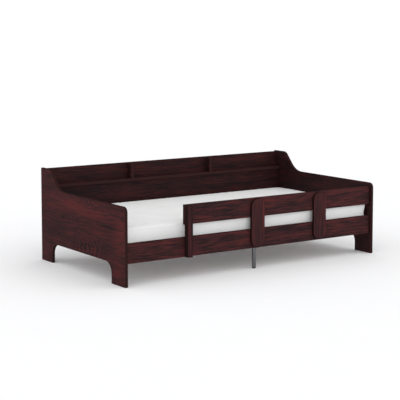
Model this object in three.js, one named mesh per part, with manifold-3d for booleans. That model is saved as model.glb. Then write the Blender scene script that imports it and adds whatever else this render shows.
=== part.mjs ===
// Low single bed for a child, in 16 mm laminated board: two shaped gables, a front rail with a guard rail on
// three posts, a back with a narrow shelf in three bays, a slatted base, a metal middle leg and a mattress.
// Millimetres, +X along the bed to the viewer's right, +Y to the back, +Z up. The origin is on the floor,
// under the middle of the bounding box.
import * as THREE from "three";
import { mergeVertices } from "three/addons/utils/BufferGeometryUtils.js";
import Module from "manifold-3d";

const wasm = await Module();
wasm.setup();

// Board and fits
const BOARD = 16; // thickness of every laminated board
const SEAT_GAP = 0.3; // between two pieces fixed face to face
const BORE_GAP = 0.3; // round a screw, bolt or cam in its hole
const CUTTER_OVERRUN = 4; // how far a cutter passes the face that it opens
const ARC_STEPS = 10; // straight pieces in each rounded corner

// Mattress
const MATTRESS_LENGTH = 1600;
const MATTRESS_WIDTH = 800;
const MATTRESS_HEIGHT = 124; // to the top of the crown
const MATTRESS_CROWN = 3; // rise of the top between its edges
const MATTRESS_CORNER_RADIUS = 12; // seen from above
const MATTRESS_ROLL = 10; // rounding of the upper and lower edges
const MATTRESS_DRAW = 6; // how far the sides pull in between those edges
const MATTRESS_END_CLEARANCE = 6; // to each gable
const MATTRESS_SIDE_CLEARANCE = 5; // to the rails
const MATTRESS_ROLL_STEPS = 3;
const MATTRESS_WAIST_STEPS = 6;
const MATTRESS_CORNER_STEPS = 4;
const MATTRESS_LONG_STEPS = 10;
const MATTRESS_SHORT_STEPS = 6;
const MATTRESS_CROWN_SHARES = [0.12, 0.3, 0.55, 0.85]; // rings of the crown, from the roll to the middle

// Front rail and guard
const RAIL_TO_FLOOR = 115;
const FRONT_RAIL_HEIGHT = 103;
const GUARD_WINDOW = 64; // open height between the two rails
const GUARD_HEIGHT = 103;
const MIDDLE_OFFSET = 4; // of the middle post and the leg, to the right of the bed's middle
const NARROW_POST_SPAN = 431; // from the middle post to the inner side of the narrow post
const RIGHT_POST_SPAN = 426; // from the middle post to the right post
const NARROW_POST_WIDTH = 30;
const NARROW_POST_DEPTH = 32;
const WIDE_POST_WIDTH = 86;
const WIDE_POST_RADIUS = 39;
const POST_TOP_DROP = 5; // below the top of the guard
const POST_BOTTOM_LIFT = 7; // above the lower edge of the front rail, on the wide posts

// Gables
const GABLE_FRONT_HEIGHT = 404;
const GABLE_REAR_HEIGHT = 514;
const GABLE_CREST = 84; // flat top at the back, as far as the shoulder
const GABLE_FRONT_RADIUS = 27;
const SHOULDER_RADIUS = 46;
const SWEEP_RADIUS = 120;
const SWEEP_ANGLE = THREE.MathUtils.degToRad(48);
const FRONT_FOOT = 135;
const REAR_FOOT = 124;
const ARCH_HEIGHT = 108;
const ARCH_RADIUS = 60;

// Back and shelf
const UPPER_BACK_HEIGHT = 105; // from the underside of the shelf to the top of the back
const SHELF_DEPTH = 42;
const SHELF_OVERHANG = 14; // in front of the lower back board
const BACK_TOP_DROP = 5; // below the top of the gables
const SHELF_BAYS = 3; // a divider's left face stands at each third of the length

// Slatted base
const CLEAT_DEPTH = 30;
const CLEAT_HEIGHT = 40;
const CLEAT_END_SPACE = 60; // from each gable, clear of the cam connectors
const SLAT_COUNT = 12;
const SLAT_WIDTH = 80;
const SLAT_THICKNESS = 12;
const SLAT_END_GAP = 2;

// Middle leg
const LEG_DIAMETER = 22;
const LEG_WALL = 1.5;
const LEG_PLATE = 46; // side of the square plate
const LEG_PLATE_RADIUS = 5;
const LEG_PLATE_THICKNESS = 2.5;
const LEG_SCREW_OFFSET = 15; // from the leg's axis, along both sides of the plate
const PAD_HEIGHT = 5;
const PAD_DIAMETER = 21;
const PAD_CHAMFER = 1;
const PAD_FLOOR = 1.5; // plastic under the screw's foot
const PAD_LIP = 1.1; // plastic over the screw's foot
const INSERT_LENGTH = 24;
const ADJUSTER_DIAMETER = 8;
const ADJUSTER_FOOT_DIAMETER = 12;
const ADJUSTER_FOOT_HEIGHT = 1.8;
const ADJUSTER_REACH = 9; // how far the screw passes the top of its insert
const ROUND_SIDES = 24;

// Cam connectors
const CAM_DIAMETER = 15;
const CAM_SIDES = 16;
const CAM_RECESS = 0.4; // below the face of the board
const CAM_DEPTH_SHARE = 0.75; // of the board
const CAM_SETBACK = 34; // from the gable to the cam's axis
const CAM_EDGE = 26; // from the board's long edge to the bolt
const CAM_BOLT_DIAMETER = 6;
const CAM_BOLT_DEPTH_SHARE = 0.65; // of the gable
const BOLT_SIDES = 8;

// Wood screws
const SCREW_DIAMETER = 4;
const SCREW_HEAD_DIAMETER = 8;
const SCREW_HEAD_HEIGHT = 2.4;
const SCREW_BITE_SHARE = 0.75; // of a board, into the piece that it draws up
const SCREW_SIDES = 8;
const POST_SCREW_OFFSET = 20; // from the middle of a wide post

// Places along the bed
const halfInner = MATTRESS_LENGTH / 2 + MATTRESS_END_CLEARANCE;
const halfLength = halfInner + BOARD;
const guardLeft = MIDDLE_OFFSET - NARROW_POST_SPAN - NARROW_POST_WIDTH;

// Places from the front, where the narrow post stands out furthest, to the back
const innerWidth = MATTRESS_WIDTH + 2 * MATTRESS_SIDE_CLEARANCE;
const totalDepth = NARROW_POST_DEPTH + SEAT_GAP + BOARD + innerWidth + SHELF_DEPTH + BOARD;
const rearY = totalDepth / 2;
const railFrontY = -rearY + NARROW_POST_DEPTH + SEAT_GAP;
const railRearY = railFrontY + BOARD;
const gableFrontY = railFrontY - SEAT_GAP - BOARD;
const shelfFrontY = railRearY + innerWidth;
const lowerBackFrontY = shelfFrontY + SHELF_OVERHANG;
const lowerBackRearY = lowerBackFrontY + BOARD;
const backFrontY = shelfFrontY + SHELF_DEPTH;
const mattressMidY = railRearY + innerWidth / 2;

// Heights above the floor
const railTopZ = RAIL_TO_FLOOR + FRONT_RAIL_HEIGHT;
const guardBottomZ = railTopZ + GUARD_WINDOW;
const guardTopZ = guardBottomZ + GUARD_HEIGHT;
const backTopZ = GABLE_REAR_HEIGHT - BACK_TOP_DROP;
const shelfBottomZ = backTopZ - UPPER_BACK_HEIGHT;
const shelfTopZ = shelfBottomZ + BOARD;
const cleatTopZ = RAIL_TO_FLOOR + CLEAT_HEIGHT;
const slatBottomZ = cleatTopZ + SEAT_GAP;
const mattressBottomZ = slatBottomZ + SLAT_THICKNESS + SEAT_GAP;

const ENDS = [
  { name: "left", sign: -1 },
  { name: "right", sign: 1 },
];

// Finishes
const darkBoard = new THREE.MeshStandardMaterial({ color: 0x3c2426, roughness: 0.48, metalness: 0 });
const paleFabric = new THREE.MeshStandardMaterial({ color: 0xe8e6e4, roughness: 0.95, metalness: 0 });
const birch = new THREE.MeshStandardMaterial({ color: 0xd9bd92, roughness: 0.6, metalness: 0 });
const chrome = new THREE.MeshStandardMaterial({ color: 0x9a9a9c, roughness: 0.18, metalness: 1 });
const zinc = new THREE.MeshStandardMaterial({ color: 0xb4b4ac, roughness: 0.35, metalness: 1 });
const blackPlastic = new THREE.MeshStandardMaterial({ color: 0x18181a, roughness: 0.55, metalness: 0 });

const bed = new THREE.Group();

// A closed three.js geometry as a solid that can be joined and cut.
function solidOf(geometry) {
  const bare = geometry.clone();
  bare.deleteAttribute("normal");
  bare.deleteAttribute("uv");
  const merged = mergeVertices(bare);
  const vertProperties = new Float32Array(merged.attributes.position.array);
  const triVerts = new Uint32Array(merged.index.array);
  return new wasm.Manifold(new wasm.Mesh({ numProp: 3, vertProperties, triVerts }));
}

// The solid as a geometry again.
function geometryOf(solid) {
  const mesh = solid.getMesh();
  const geometry = new THREE.BufferGeometry();
  geometry.setAttribute("position", new THREE.BufferAttribute(new Float32Array(mesh.vertProperties), 3));
  geometry.setIndex(new THREE.BufferAttribute(new Uint32Array(mesh.triVerts), 1));
  geometry.computeVertexNormals();
  return geometry;
}

function cutFrom(solid, cutters) {
  return cutters.reduce((left, cutter) => left.subtract(cutter), solid);
}

function add(name, solid, material) {
  const mesh = new THREE.Mesh(geometryOf(solid), material.clone());
  mesh.name = name;
  bed.add(mesh);
}

// A board between two corners.
function block([x0, y0, z0], [x1, y1, z1]) {
  const box = new THREE.BoxGeometry(x1 - x0, y1 - y0, z1 - z0);
  return solidOf(box.translate((x0 + x1) / 2, (y0 + y1) / 2, (z0 + z1) / 2));
}

// A round bar from one point to another.
function rod(radius, from, to, sides) {
  const start = new THREE.Vector3(...from);
  const along = new THREE.Vector3(...to).sub(start);
  const bar = new THREE.CylinderGeometry(radius, radius, along.length(), sides);
  const turn = new THREE.Quaternion().setFromUnitVectors(
    new THREE.Vector3(0, 1, 0),
    along.clone().normalize(),
  );
  const middle = start.clone().addScaledVector(along, 1 / 2);
  return solidOf(bar.applyQuaternion(turn).translate(middle.x, middle.y, middle.z));
}

// A profile of [radius, height] points turned about the vertical through (x, y).
function turned(profile, x, y, sides) {
  const points = profile.map(([radius, height]) => new THREE.Vector2(radius, height));
  const lathe = new THREE.LatheGeometry(points, sides);
  return solidOf(lathe.rotateX(Math.PI / 2).translate(x, y, 0));
}

// A rectangle with round corners, from corner (x0, z0) to (x1, z1).
function roundedRectangle(x0, z0, x1, z1, radius) {
  const shape = new THREE.Shape();
  shape.moveTo(x0 + radius, z0);
  shape.absarc(x1 - radius, z0 + radius, radius, -Math.PI / 2, 0, false);
  shape.absarc(x1 - radius, z1 - radius, radius, 0, Math.PI / 2, false);
  shape.absarc(x0 + radius, z1 - radius, radius, Math.PI / 2, Math.PI, false);
  shape.absarc(x0 + radius, z0 + radius, radius, Math.PI, (3 * Math.PI) / 2, false);
  return shape;
}

// A shape extruded by depth, with its own axes and the depth laid along the given directions.
function extruded(shape, depth, across, up, away, place) {
  const geometry = new THREE.ExtrudeGeometry(shape, { depth, bevelEnabled: false, curveSegments: ARC_STEPS });
  const turn = new THREE.Matrix4().makeBasis(across, up, away).setPosition(...place);
  return solidOf(geometry.applyMatrix4(turn));
}

const X = new THREE.Vector3(1, 0, 0);
const Y = new THREE.Vector3(0, 1, 0);
const Z = new THREE.Vector3(0, 0, 1);
const MINUS_Y = Y.clone().negate();

// Cam connectors: a cam in the hidden face of the board, and its bolt into the gable.

// Where the bolts of a board lie: at two heights on each end that meets a gable.
function camPlaces(board) {
  const heights = [
    { name: "lower", z: board.bottom + CAM_EDGE },
    { name: "upper", z: board.top - CAM_EDGE },
  ];
  return board.ends.flatMap((end) => heights.map((height) => ({ board, end, height })));
}

function camSolid({ board, end, height }, gap) {
  const depth = BOARD * CAM_DEPTH_SHARE;
  const outside = board.rear - CAM_RECESS;
  const camX = end.sign * (halfInner - CAM_SETBACK);
  const boltEnd = end.sign * (halfInner + BOARD * CAM_BOLT_DEPTH_SHARE + gap);
  const boltY = board.rear - BOARD / 2;
  const top = gap ? board.rear + CUTTER_OVERRUN : outside;
  const cam = rod(
    CAM_DIAMETER / 2 + gap,
    [camX, outside - depth - gap, height.z],
    [camX, top, height.z],
    CAM_SIDES,
  );
  const bolt = rod(
    CAM_BOLT_DIAMETER / 2 + gap,
    [camX, boltY, height.z],
    [boltEnd, boltY, height.z],
    BOLT_SIDES,
  );
  return cam.add(bolt);
}

const rightEnd = ENDS[1];
const camBoards = {
  front_rail: { rear: railRearY, bottom: RAIL_TO_FLOOR, top: railTopZ, ends: ENDS },
  guard_rail: { rear: railRearY, bottom: guardBottomZ, top: guardTopZ, ends: [rightEnd] },
  lower_back_board: { rear: lowerBackRearY, bottom: RAIL_TO_FLOOR, top: shelfBottomZ, ends: ENDS },
  upper_back_board: { rear: rearY, bottom: shelfBottomZ, top: backTopZ, ends: ENDS },
};

function camCutters(board) {
  return camPlaces(board).map((place) => camSolid(place, BORE_GAP));
}

for (const [name, board] of Object.entries(camBoards))
  for (const place of camPlaces(board))
    add(`cam_${name}_${place.end.name}_${place.height.name}`, camSolid(place, 0), zinc);

// Gables: one outline in the plane of Y and Z, with the arch between the feet.
function gableShape() {
  const drop = GABLE_REAR_HEIGHT - GABLE_FRONT_HEIGHT;
  const bend = 1 - Math.cos(SWEEP_ANGLE);
  const fit = Math.min(1, drop / ((SHOULDER_RADIUS + SWEEP_RADIUS) * bend));
  const shoulder = SHOULDER_RADIUS * fit;
  const sweep = SWEEP_RADIUS * fit;
  const straight = (drop - (shoulder + sweep) * bend) / Math.sin(SWEEP_ANGLE);
  const crestY = rearY - GABLE_CREST;
  const run = (shoulder + sweep) * Math.sin(SWEEP_ANGLE) + straight * Math.cos(SWEEP_ANGLE);
  const up = Math.PI / 2;
  const arch = Math.min(ARCH_RADIUS, ARCH_HEIGHT);
  const archFront = gableFrontY + FRONT_FOOT;
  const archRear = rearY - REAR_FOOT;
  const shape = new THREE.Shape();
  shape.moveTo(gableFrontY, 0);
  shape.lineTo(gableFrontY, GABLE_FRONT_HEIGHT - GABLE_FRONT_RADIUS);
  shape.absarc(
    gableFrontY + GABLE_FRONT_RADIUS,
    GABLE_FRONT_HEIGHT - GABLE_FRONT_RADIUS,
    GABLE_FRONT_RADIUS,
    Math.PI,
    up,
    true,
  );
  shape.absarc(crestY - run, GABLE_FRONT_HEIGHT + sweep, sweep, -up, -up + SWEEP_ANGLE, false);
  shape.absarc(crestY, GABLE_REAR_HEIGHT - shoulder, shoulder, up + SWEEP_ANGLE, up, true);
  shape.lineTo(rearY, GABLE_REAR_HEIGHT);
  shape.lineTo(rearY, 0);
  shape.lineTo(archRear, 0);
  shape.absarc(archRear - arch, ARCH_HEIGHT - arch, arch, 0, up, false);
  shape.absarc(archFront + arch, ARCH_HEIGHT - arch, arch, up, Math.PI, false);
  shape.lineTo(archFront, 0);
  return shape;
}

function gable(end) {
  const inner = Math.min(end.sign * halfInner, end.sign * halfLength);
  const blank = extruded(gableShape(), BOARD, Y, Z, X, [inner, 0, 0]);
  const bolts = Object.values(camBoards)
    .flatMap(camPlaces)
    .filter((place) => place.end === end)
    .map((place) => camSolid(place, BORE_GAP));
  return cutFrom(blank, bolts);
}

for (const end of ENDS) add(`${end.name}_gable`, gable(end), darkBoard);

// Wood screws with a countersunk head, along Y: from the rear of a rail into a post.
function screwProfile(length, gap) {
  const shank = SCREW_DIAMETER / 2 + gap;
  const head = SCREW_HEAD_DIAMETER / 2 + gap;
  const opened = gap ? [[0, CUTTER_OVERRUN], [head, CUTTER_OVERRUN]] : [[0, 0]];
  return [...opened, [head, 0], [shank, -SCREW_HEAD_HEIGHT], [shank, -length - gap], [0, -length - gap]];
}

function postScrew(place, gap) {
  const length = BOARD + SEAT_GAP + BOARD * SCREW_BITE_SHARE;
  const points = screwProfile(length, gap).map(([radius, height]) => new THREE.Vector2(radius, height));
  const lathe = new THREE.LatheGeometry(points.reverse(), SCREW_SIDES);
  return solidOf(lathe.translate(0, railRearY, 0).translate(place.x, 0, place.z));
}

const posts = [
  { name: "left", x: guardLeft + NARROW_POST_WIDTH / 2, offsets: [0] },
  { name: "middle", x: MIDDLE_OFFSET, offsets: [-POST_SCREW_OFFSET, POST_SCREW_OFFSET] },
  {
    name: "right",
    x: MIDDLE_OFFSET + RIGHT_POST_SPAN,
    offsets: [-POST_SCREW_OFFSET, POST_SCREW_OFFSET],
  },
];
const railMiddles = [
  { name: "front_rail", z: (RAIL_TO_FLOOR + railTopZ) / 2 },
  { name: "guard_rail", z: (guardBottomZ + guardTopZ) / 2 },
];
const postScrews = posts.flatMap((post) =>
  railMiddles.flatMap((rail) =>
    post.offsets.map((offset, i) => ({ post, rail, number: i + 1, x: post.x + offset, z: rail.z })),
  ),
);

function postScrewCutters(test) {
  return postScrews.filter(test).map((place) => postScrew(place, BORE_GAP));
}

for (const place of postScrews)
  add(`screw_${place.post.name}_post_${place.rail.name}_${place.number}`, postScrew(place, 0), zinc);

// Middle leg: a welded tube and plate under the front rail and its cleat, with a screwed foot.
const legX = MIDDLE_OFFSET;
const legY = (railFrontY + railRearY + SEAT_GAP + CLEAT_DEPTH) / 2;
const plateTopZ = RAIL_TO_FLOOR - SEAT_GAP;
const plateBottomZ = plateTopZ - LEG_PLATE_THICKNESS;
const tubeBottomZ = PAD_HEIGHT + SEAT_GAP;
const tubeBore = LEG_DIAMETER / 2 - LEG_WALL;
const legScrewPlaces = [-1, 1].flatMap((sx) =>
  [-1, 1].map((sy) => ({
    name: `${sy < 0 ? "front" : "rear"}_${sx < 0 ? "left" : "right"}`,
    x: legX + sx * LEG_SCREW_OFFSET,
    y: legY + sy * LEG_SCREW_OFFSET,
  })),
);

// A pan-head screw that points up through the plate.
function legScrew({ x, y }, gap) {
  const shank = SCREW_DIAMETER / 2 + gap;
  const head = SCREW_HEAD_DIAMETER / 2;
  const headTop = plateBottomZ - SEAT_GAP;
  const tip = plateTopZ + BOARD * SCREW_BITE_SHARE + gap;
  if (gap) return rod(shank, [x, y, headTop], [x, y, tip], SCREW_SIDES);
  const profile = [
    [0, headTop - SCREW_HEAD_HEIGHT],
    [shank, headTop - SCREW_HEAD_HEIGHT],
    [head, headTop - SCREW_HEAD_HEIGHT / 2],
    [head, headTop],
    [shank, headTop],
    [shank, tip],
    [0, tip],
  ];
  return turned(profile, x, y, SCREW_SIDES);
}

function legScrewCutters() {
  return legScrewPlaces.map((place) => legScrew(place, BORE_GAP));
}

function leg() {
  const tube = turned(
    [
      [tubeBore, tubeBottomZ],
      [LEG_DIAMETER / 2, tubeBottomZ],
      [LEG_DIAMETER / 2, plateBottomZ + LEG_PLATE_THICKNESS / 2],
      [tubeBore, plateBottomZ + LEG_PLATE_THICKNESS / 2],
      [tubeBore, tubeBottomZ],
    ],
    legX,
    legY,
    ROUND_SIDES,
  );
  const half = LEG_PLATE / 2;
  const shape = roundedRectangle(-half, -half, half, half, LEG_PLATE_RADIUS);
  const plate = extruded(shape, LEG_PLATE_THICKNESS, X, Y, Z, [legX, legY, plateBottomZ]);
  return cutFrom(plate.add(tube), legScrewCutters());
}

// Plastic insert in the end of the tube, which takes the adjusting screw.
function legInsert() {
  const bore = ADJUSTER_DIAMETER / 2 + BORE_GAP;
  const outside = tubeBore - SEAT_GAP;
  const top = tubeBottomZ + INSERT_LENGTH;
  const profile = [
    [bore, tubeBottomZ],
    [outside, tubeBottomZ],
    [outside, top],
    [bore, top],
    [bore, tubeBottomZ],
  ];
  return turned(profile, legX, legY, ROUND_SIDES);
}

const adjusterBottomZ = PAD_FLOOR + SEAT_GAP;

function adjusterScrew() {
  const foot = ADJUSTER_FOOT_DIAMETER / 2;
  const shank = ADJUSTER_DIAMETER / 2;
  const top = tubeBottomZ + INSERT_LENGTH + ADJUSTER_REACH;
  const profile = [
    [0, adjusterBottomZ],
    [foot, adjusterBottomZ],
    [foot, adjusterBottomZ + ADJUSTER_FOOT_HEIGHT],
    [shank, adjusterBottomZ + ADJUSTER_FOOT_HEIGHT],
    [shank, top],
    [0, top],
  ];
  return turned(profile, legX, legY, ROUND_SIDES);
}

// Foot pad: it holds the screw's foot under a lip and stays still while the screw turns.
function legPad() {
  const outside = PAD_DIAMETER / 2;
  const socket = ADJUSTER_FOOT_DIAMETER / 2 + BORE_GAP;
  const lip = ADJUSTER_DIAMETER / 2 + BORE_GAP;
  const profile = [
    [0, 0],
    [outside - PAD_CHAMFER, 0],
    [outside, PAD_CHAMFER],
    [outside, PAD_HEIGHT],
    [lip, PAD_HEIGHT],
    [lip, PAD_HEIGHT - PAD_LIP],
    [socket, PAD_HEIGHT - PAD_LIP],
    [socket, PAD_FLOOR],
    [0, PAD_FLOOR],
  ];
  return turned(profile, legX, legY, ROUND_SIDES);
}

add("middle_leg", leg(), chrome);
add("leg_insert", legInsert(), blackPlastic);
add("leg_adjusting_screw", adjusterScrew(), zinc);
add("leg_foot_pad", legPad(), blackPlastic);
for (const place of legScrewPlaces) add(`screw_leg_${place.name}`, legScrew(place, 0), zinc);

// Front rail and guard rail, in one plane, drilled for cams, post screws and the leg.
const railBlank = block(
  [-halfInner + SEAT_GAP, railFrontY, RAIL_TO_FLOOR],
  [halfInner - SEAT_GAP, railRearY, railTopZ],
);
const frontRail = cutFrom(railBlank, [
  ...camCutters(camBoards.front_rail),
  ...postScrewCutters(({ rail }) => rail.name === "front_rail"),
  ...legScrewCutters(),
]);
add("front_rail", frontRail, darkBoard);

const guardBlank = block([guardLeft, railFrontY, guardBottomZ], [halfInner - SEAT_GAP, railRearY, guardTopZ]);
const guardRail = cutFrom(guardBlank, [
  ...camCutters(camBoards.guard_rail),
  ...postScrewCutters(({ rail }) => rail.name === "guard_rail"),
]);
add("guard_rail", guardRail, darkBoard);

// Posts: a narrow square one at the end of the guard, and two wide ones with round corners.
const postRearY = railFrontY - SEAT_GAP;
const postTopZ = guardTopZ - POST_TOP_DROP;

function narrowPost(post) {
  const half = NARROW_POST_WIDTH / 2;
  return block(
    [post.x - half, postRearY - NARROW_POST_DEPTH, RAIL_TO_FLOOR],
    [post.x + half, postRearY, postTopZ],
  );
}

function widePost(post) {
  const half = WIDE_POST_WIDTH / 2;
  const radius = Math.min(WIDE_POST_RADIUS, half);
  const bottom = RAIL_TO_FLOOR + POST_BOTTOM_LIFT;
  const shape = roundedRectangle(post.x - half, bottom, post.x + half, postTopZ, radius);
  return extruded(shape, BOARD, X, Z, MINUS_Y, [0, postRearY, 0]);
}

for (const post of posts) {
  const blank = post.name === "left" ? narrowPost(post) : widePost(post);
  const drilled = cutFrom(blank, postScrewCutters((place) => place.post === post));
  add(`guard_post_${post.name}`, drilled, darkBoard);
}

// Back: a lower board beside the mattress, the shelf on top of it and out over the mattress, the upper board
// behind, two dividers.
const lowerBackBlank = block(
  [-halfInner + SEAT_GAP, lowerBackFrontY, RAIL_TO_FLOOR],
  [halfInner - SEAT_GAP, lowerBackRearY, shelfBottomZ - SEAT_GAP],
);
add("lower_back_board", cutFrom(lowerBackBlank, camCutters(camBoards.lower_back_board)), darkBoard);

const upperBackBlank = block(
  [-halfInner + SEAT_GAP, backFrontY, shelfBottomZ],
  [halfInner - SEAT_GAP, rearY, backTopZ],
);
add("upper_back_board", cutFrom(upperBackBlank, camCutters(camBoards.upper_back_board)), darkBoard);

const shelf = block(
  [-halfInner + SEAT_GAP, shelfFrontY, shelfBottomZ],
  [halfInner - SEAT_GAP, backFrontY - SEAT_GAP, shelfTopZ],
);
add("shelf", shelf, darkBoard);

for (let i = 1; i < SHELF_BAYS; i++) {
  const left = -halfLength + (2 * halfLength * i) / SHELF_BAYS;
  const divider = block(
    [left, shelfFrontY, shelfTopZ + SEAT_GAP],
    [left + BOARD, backFrontY - SEAT_GAP, backTopZ],
  );
  add(`shelf_divider_${i}`, divider, darkBoard);
}

// Slatted base: a cleat along each long side, and slats across them.
const halfCleat = halfInner - CLEAT_END_SPACE;
const frontCleat = block(
  [-halfCleat, railRearY + SEAT_GAP, RAIL_TO_FLOOR],
  [halfCleat, railRearY + SEAT_GAP + CLEAT_DEPTH, cleatTopZ],
);
const rearCleat = block(
  [-halfCleat, lowerBackFrontY - SEAT_GAP - CLEAT_DEPTH, RAIL_TO_FLOOR],
  [halfCleat, lowerBackFrontY - SEAT_GAP, cleatTopZ],
);
add("front_cleat", cutFrom(frontCleat, legScrewCutters()), birch);
add("rear_cleat", rearCleat, birch);

const slatPitch = (2 * halfCleat - SLAT_WIDTH) / (SLAT_COUNT - 1);
for (let i = 0; i < SLAT_COUNT; i++) {
  const left = -halfCleat + i * slatPitch;
  const slat = block(
    [left, railRearY + SLAT_END_GAP, slatBottomZ],
    [left + SLAT_WIDTH, lowerBackFrontY - SLAT_END_GAP, slatBottomZ + SLAT_THICKNESS],
  );
  add(`slat_${i + 1}`, slat, birch);
}

// Mattress: rings with round corners, rolled edges, sides a little drawn in and a low crown.

// One ring, counter-clockwise from above, pulled in by inset.
function mattressRing(inset, z) {
  const halfX = MATTRESS_LENGTH / 2 - inset;
  const halfY = MATTRESS_WIDTH / 2 - inset;
  const radius = MATTRESS_CORNER_RADIUS * (halfY / (MATTRESS_WIDTH / 2));
  const corners = [
    [1, 1],
    [-1, 1],
    [-1, -1],
    [1, -1],
  ];
  const turn = Math.PI / 2;
  const ring = corners.flatMap(([sx, sy], corner) => {
    const cx = sx * (halfX - radius);
    const cy = sy * (halfY - radius);
    const arc = Array.from({ length: MATTRESS_CORNER_STEPS + 1 }, (_, i) => {
      const angle = turn * (corner + i / MATTRESS_CORNER_STEPS);
      return [cx + radius * Math.cos(angle), cy + radius * Math.sin(angle), z];
    });
    const steps = corner % 2 ? MATTRESS_SHORT_STEPS : MATTRESS_LONG_STEPS;
    const [nx, ny] = corners[(corner + 1) % corners.length];
    const end = arc[arc.length - 1];
    const next = [
      nx * (halfX - radius) + radius * Math.cos(turn * (corner + 1)),
      ny * (halfY - radius) + radius * Math.sin(turn * (corner + 1)),
    ];
    const side = Array.from({ length: steps - 1 }, (_, i) => {
      const share = (i + 1) / steps;
      return [end[0] + (next[0] - end[0]) * share, end[1] + (next[1] - end[1]) * share, z];
    });
    return [...arc, ...side];
  });
  return ring.map(([x, y, height]) => [x, y + mattressMidY, height]);
}

// The rings from the underside to the crown: a rolled edge, the waist of the sides, a rolled edge, the crown.
function mattressRings() {
  const rimZ = MATTRESS_HEIGHT - MATTRESS_CROWN;
  const waist = rimZ - 2 * MATTRESS_ROLL;
  const rings = [];
  for (let i = 0; i <= MATTRESS_ROLL_STEPS; i++) {
    const angle = ((Math.PI / 2) * i) / MATTRESS_ROLL_STEPS;
    rings.push([MATTRESS_ROLL * (1 - Math.sin(angle)), MATTRESS_ROLL * (1 - Math.cos(angle))]);
  }
  for (let i = 1; i < MATTRESS_WAIST_STEPS; i++) {
    const share = i / MATTRESS_WAIST_STEPS;
    rings.push([MATTRESS_DRAW * Math.sin(Math.PI * share) ** 2, MATTRESS_ROLL + waist * share]);
  }
  for (let i = 0; i <= MATTRESS_ROLL_STEPS; i++) {
    const angle = ((Math.PI / 2) * i) / MATTRESS_ROLL_STEPS;
    rings.push([MATTRESS_ROLL * (1 - Math.cos(angle)), rimZ - MATTRESS_ROLL * (1 - Math.sin(angle))]);
  }
  for (const share of MATTRESS_CROWN_SHARES) {
    const inset = MATTRESS_ROLL + (MATTRESS_WIDTH / 2 - MATTRESS_ROLL) * share;
    rings.push([inset, rimZ + MATTRESS_CROWN * Math.sin((Math.PI / 2) * share)]);
  }
  return rings.map(([inset, z]) => mattressRing(inset, mattressBottomZ + z));
}

function mattress() {
  const rings = mattressRings();
  const count = rings[0].length;
  const positions = rings.flat(2);
  const faces = [];
  for (let r = 0; r + 1 < rings.length; r++)
    for (let i = 0; i < count; i++) {
      const a = r * count + i;
      const b = r * count + ((i + 1) % count);
      faces.push(a, b, b + count, a, b + count, a + count);
    }
  const bottom = positions.length / 3;
  positions.push(0, mattressMidY, mattressBottomZ);
  positions.push(0, mattressMidY, mattressBottomZ + MATTRESS_HEIGHT);
  const last = (rings.length - 1) * count;
  for (let i = 0; i < count; i++) {
    const j = (i + 1) % count;
    faces.push(bottom, j, i, bottom + 1, last + i, last + j);
  }
  const geometry = new THREE.BufferGeometry();
  geometry.setAttribute("position", new THREE.Float32BufferAttribute(positions, 3));
  geometry.setIndex(faces);
  return solidOf(geometry);
}

add("mattress", mattress(), paleFabric);

export default bed;
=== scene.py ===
import math
import bmesh
import bpy
from mathutils import Matrix, Vector
from mathutils.bvhtree import BVHTree


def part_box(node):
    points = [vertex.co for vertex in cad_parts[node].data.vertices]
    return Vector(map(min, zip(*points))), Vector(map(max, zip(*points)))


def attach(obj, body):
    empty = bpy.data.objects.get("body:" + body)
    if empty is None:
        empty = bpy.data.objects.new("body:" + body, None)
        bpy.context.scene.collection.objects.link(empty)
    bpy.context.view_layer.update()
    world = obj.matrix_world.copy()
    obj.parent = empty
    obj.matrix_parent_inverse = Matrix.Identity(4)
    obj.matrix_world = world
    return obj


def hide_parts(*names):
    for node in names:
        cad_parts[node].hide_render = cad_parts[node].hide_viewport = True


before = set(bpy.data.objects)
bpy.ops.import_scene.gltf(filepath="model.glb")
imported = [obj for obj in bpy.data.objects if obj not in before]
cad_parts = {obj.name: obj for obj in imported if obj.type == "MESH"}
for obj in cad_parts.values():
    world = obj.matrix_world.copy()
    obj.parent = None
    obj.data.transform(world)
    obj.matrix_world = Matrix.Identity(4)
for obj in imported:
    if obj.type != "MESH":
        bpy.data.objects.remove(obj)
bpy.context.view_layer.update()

# Viewpoint
# A child's bed seen from the front left, a little above its top, with a long lens that keeps its lines
# nearly parallel.
camera_place = (-3.8782, -5.5666, 1.3160)
camera_tilt = math.radians(84.467)
camera_heading = math.radians(-34.373)
camera_lens = 109.81
camera_shift = -0.15

camera = bpy.data.objects.new("camera", bpy.data.cameras.new("camera"))
camera.data.sensor_width = 36
camera.data.lens = camera_lens
camera.data.shift_y = camera_shift
camera.location = camera_place
camera.rotation_euler = (camera_tilt, 0, camera_heading)
bpy.context.scene.collection.objects.link(camera)
bpy.context.scene.camera = camera

# Room
# A white studio: a matt white floor that glows faintly, a white dome of light all round that is brighter
# low down than overhead, and a broad soft lamp from above the front.
floor_radius = 40
floor_white = (0.92, 0.92, 0.92)
floor_dust = 0.985
floor_glow = 0.028
glow_colour = (1, 1.1, 1.5, 1)
dome_low = 1.25
dome_overhead = 0.74
lamp_strength = 0.58
lamp_spread = math.radians(80)
lamp_direction = Vector((-0.05, 0.62, -1.0))


def node(tree, kind, settings={}, inputs={}):
    """Places a shader node, sets it up, and joins or sets its inputs."""
    made = tree.nodes.new("ShaderNode" + kind)
    for name, value in settings.items():
        setattr(made, name, value)
    for name, value in inputs.items():
        if isinstance(value, bpy.types.NodeSocket):
            tree.links.new(value, made.inputs[name])
        else:
            made.inputs[name].default_value = value
    return made


def finish_of(name, **shader):
    """A new material with its surface shader; returns the material, its tree and the shader."""
    material = bpy.data.materials.new(name)
    material.use_nodes = True
    tree = material.node_tree
    surface = tree.nodes["Principled BSDF"]
    for socket, value in shader.items():
        surface.inputs[socket.replace("_", " ")].default_value = value
    return material, tree, surface


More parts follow.
